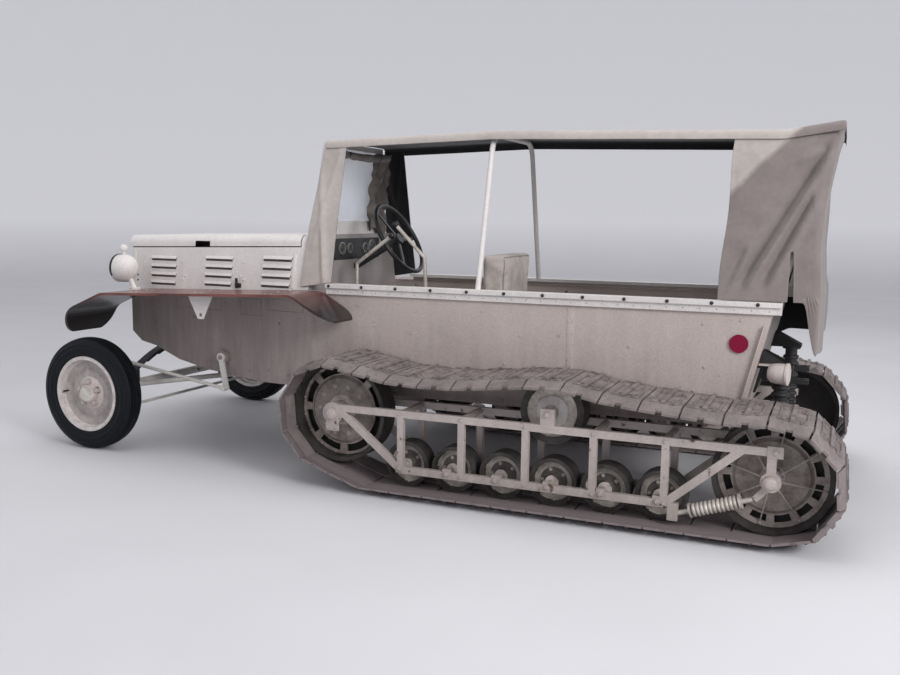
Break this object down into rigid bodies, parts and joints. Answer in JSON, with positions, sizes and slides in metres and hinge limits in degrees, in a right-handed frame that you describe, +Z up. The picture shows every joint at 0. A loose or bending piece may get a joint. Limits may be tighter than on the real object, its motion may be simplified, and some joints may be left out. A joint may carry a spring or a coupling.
{
  "type": "half-track snow tractor",
  "caption": "Narrow open half-track with a full track along each side, two steered front wheels, a louvred bonnet, wooden fenders and a canvas top over tandem seats.",
  "frame": {"origin": "on the ground at the centre of the overall box", "axes": "+X forward, +Y to the left, +Z up"},
  "size_m": [3.4544, 1.6, 1.428],
  "materials": {
    "body_paint": "satin",
    "running_gear_paint": "satin",
    "fender_wood": "gloss",
    "canvas": "matte",
    "seat_leather": "satin",
    "tyre_rubber": "matte",
    "clear_glass": "polished",
    "dark_iron": "matte",
    "bare_steel": "satin",
    "black_grip": "satin",
    "red_lens": "gloss"
  },
  "bodies": {
    "hull": {"hull_floor": "body_paint", "hull_side_left": "body_paint", "hull_side_right": "body_paint", "hull_nose": "body_paint", "hull_tail": "body_paint", "cowl": "body_paint", "side_rails": "body_paint", "hood_side_left": "body_paint", "hood_side_right": "body_paint", "radiator": "dark_iron", "engine_block": "dark_iron", "fender_left": "fender_wood", "fender_right": "fender_wood", "fender_brackets": "body_paint", "headlamps": "body_paint", "headlamp_lenses": "clear_glass", "windscreen_frame": "body_paint", "windscreen_glass": "clear_glass", "roof_bows": "body_paint", "canvas_roof": "canvas", "canvas_rear": "canvas", "canvas_strips": "canvas", "seat_boxes": "body_paint", "driver_seat": "seat_leather", "rear_seat": "seat_leather", "steering_column": "body_paint", "hand_levers": "bare_steel", "front_axle": "running_gear_paint", "front_spring": "dark_iron", "track_left": "running_gear_paint", "track_right": "running_gear_paint", "track_frame_left": "running_gear_paint", "track_frame_right": "running_gear_paint", "sprockets": "running_gear_paint", "idlers": "running_gear_paint", "road_wheels": "running_gear_paint", "return_rollers": "running_gear_paint", "tensioners": "bare_steel", "drive_axle": "running_gear_paint", "rear_axle": "running_gear_paint", "rear_springs": "dark_iron", "tow_hitch": "dark_iron", "reflectors": "red_lens"},
    "knuckle_left": {"knuckle_left": "running_gear_paint"},
    "knuckle_right": {"knuckle_right": "running_gear_paint"},
    "front_wheel_left": {"rim_left": "running_gear_paint", "tyre_left": "tyre_rubber"},
    "front_wheel_right": {"rim_right": "running_gear_paint", "tyre_right": "tyre_rubber"},
    "tie_rod": {"tie_rod": "running_gear_paint"},
    "pitman_arm": {"pitman_arm": "running_gear_paint"},
    "drag_link": {"drag_link": "running_gear_paint"},
    "steering_wheel": {"steering_wheel": "black_grip"},
    "hood_lid": {"hood_lid": "body_paint"}
  },
  "joints": [
    {"name": "steer_left", "type": "hinge", "parent": "hull", "child": "knuckle_left", "pos_m": [1.47, 0.545, 0.257], "axis": [0, 0, 1], "range_deg": [-26, 26]},
    {"name": "steer_right", "type": "hinge", "parent": "hull", "child": "knuckle_right", "pos_m": [1.47, -0.545, 0.257], "axis": [0, 0, 1], "range_deg": [-26, 26]},
    {"name": "spin_left", "type": "hinge", "parent": "knuckle_left", "child": "front_wheel_left", "pos_m": [1.47, 0.641, 0.257], "axis": [0, 1, 0], "continuous": true},
    {"name": "spin_right", "type": "hinge", "parent": "knuckle_right", "child": "front_wheel_right", "pos_m": [1.47, -0.641, 0.257], "axis": [0, 1, 0], "continuous": true},
    {"name": "tie_rod_swing", "type": "hinge", "parent": "knuckle_left", "child": "tie_rod", "pos_m": [1.35, 0.545, 0.1895], "axis": [0, 0, 1], "range_deg": [-26, 26]},
    {"name": "pitman_swing", "type": "hinge", "parent": "hull", "child": "pitman_arm", "pos_m": [0.912, 0.43, 0.43], "axis": [0, -1, 0], "range_deg": [-16, 16]},
    {"name": "drag_link_slide", "type": "slide", "parent": "hull", "child": "drag_link", "axis": [1, 0, 0], "range_m": [-0.036, 0.036]},
    {"name": "steering_wheel_turn", "type": "hinge", "parent": "hull", "child": "steering_wheel", "pos_m": [0.215, 0, 0.975], "axis": [-0.8654, 0, 0.5011], "range_deg": [-320, 320]},
    {"name": "hood_lid_hinge", "type": "hinge", "parent": "hull", "child": "hood_lid", "pos_m": [0.499, 0, 0.983], "axis": [0, -1, 0], "range_deg": [0, 50]}
  ],
  "couplings": [
    {"joint": "steer_right", "follows": "steer_left", "ratio": 1},
    {"joint": "tie_rod_swing", "follows": "steer_left", "ratio": -1},
    {"joint": "pitman_swing", "follows": "steer_left", "ratio": 0.507},
    {"joint": "drag_link_slide", "follows": "steer_left", "m_per_rad": 0.07},
    {"joint": "steering_wheel_turn", "follows": "steer_left", "ratio": 12}
  ]
}
